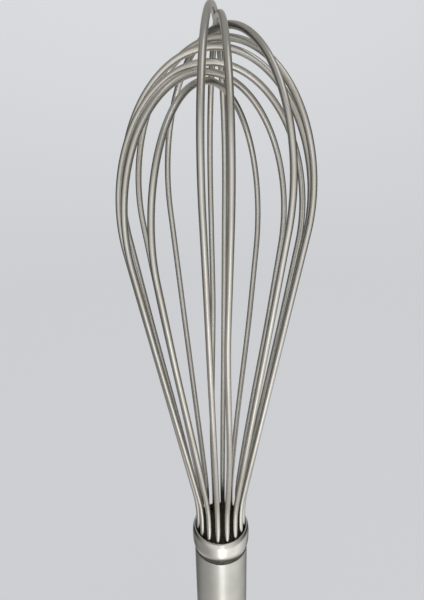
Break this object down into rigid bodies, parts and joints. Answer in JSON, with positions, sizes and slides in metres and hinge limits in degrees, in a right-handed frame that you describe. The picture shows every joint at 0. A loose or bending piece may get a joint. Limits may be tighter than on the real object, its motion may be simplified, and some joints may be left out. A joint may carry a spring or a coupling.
{
  "type": "balloon whisk",
  "caption": "Stainless steel balloon whisk: nested sprung wire loops set in a sealed tubular handle with a collar band, a domed end cap and a swinging hanging ring.",
  "frame": {"origin": "on the handle's axis, halfway along the handle, where a hand grips it", "axes": "+Z along the handle towards the wire head; +X to the right as seen from the front, along the hanging ring's bar; +Y to the back"},
  "size_m": [0.0598, 0.0593, 0.3354],
  "materials": {
    "wire_steel": "polished drawn wire",
    "satin_steel": "satin",
    "polished_steel": "polished",
    "dark_sealant": "matte",
    "core_plastic": "matte",
    "resin": "cast"
  },
  "bodies": {
    "whisk": {"wire_loop_1": "wire_steel", "wire_loop_2": "wire_steel", "wire_loop_3": "wire_steel", "wire_loop_4": "wire_steel", "wire_loop_5": "wire_steel", "wire_loop_6": "wire_steel", "wire_loop_7": "wire_steel", "wire_loop_8": "wire_steel", "handle_tube": "satin_steel", "collar_gasket": "dark_sealant", "collar_ring": "polished_steel", "mouth_seal": "dark_sealant", "wire_core": "core_plastic", "resin_plug": "resin", "end_cap": "polished_steel"},
    "ring": {"hang_ring": "polished_steel"}
  },
  "joints": [
    {"name": "ring_swing", "type": "hinge", "parent": "whisk", "child": "ring", "pos_m": [0, 0, -0.055], "axis": [1, 0, 0], "range_deg": [-148, 148]}
  ]
}
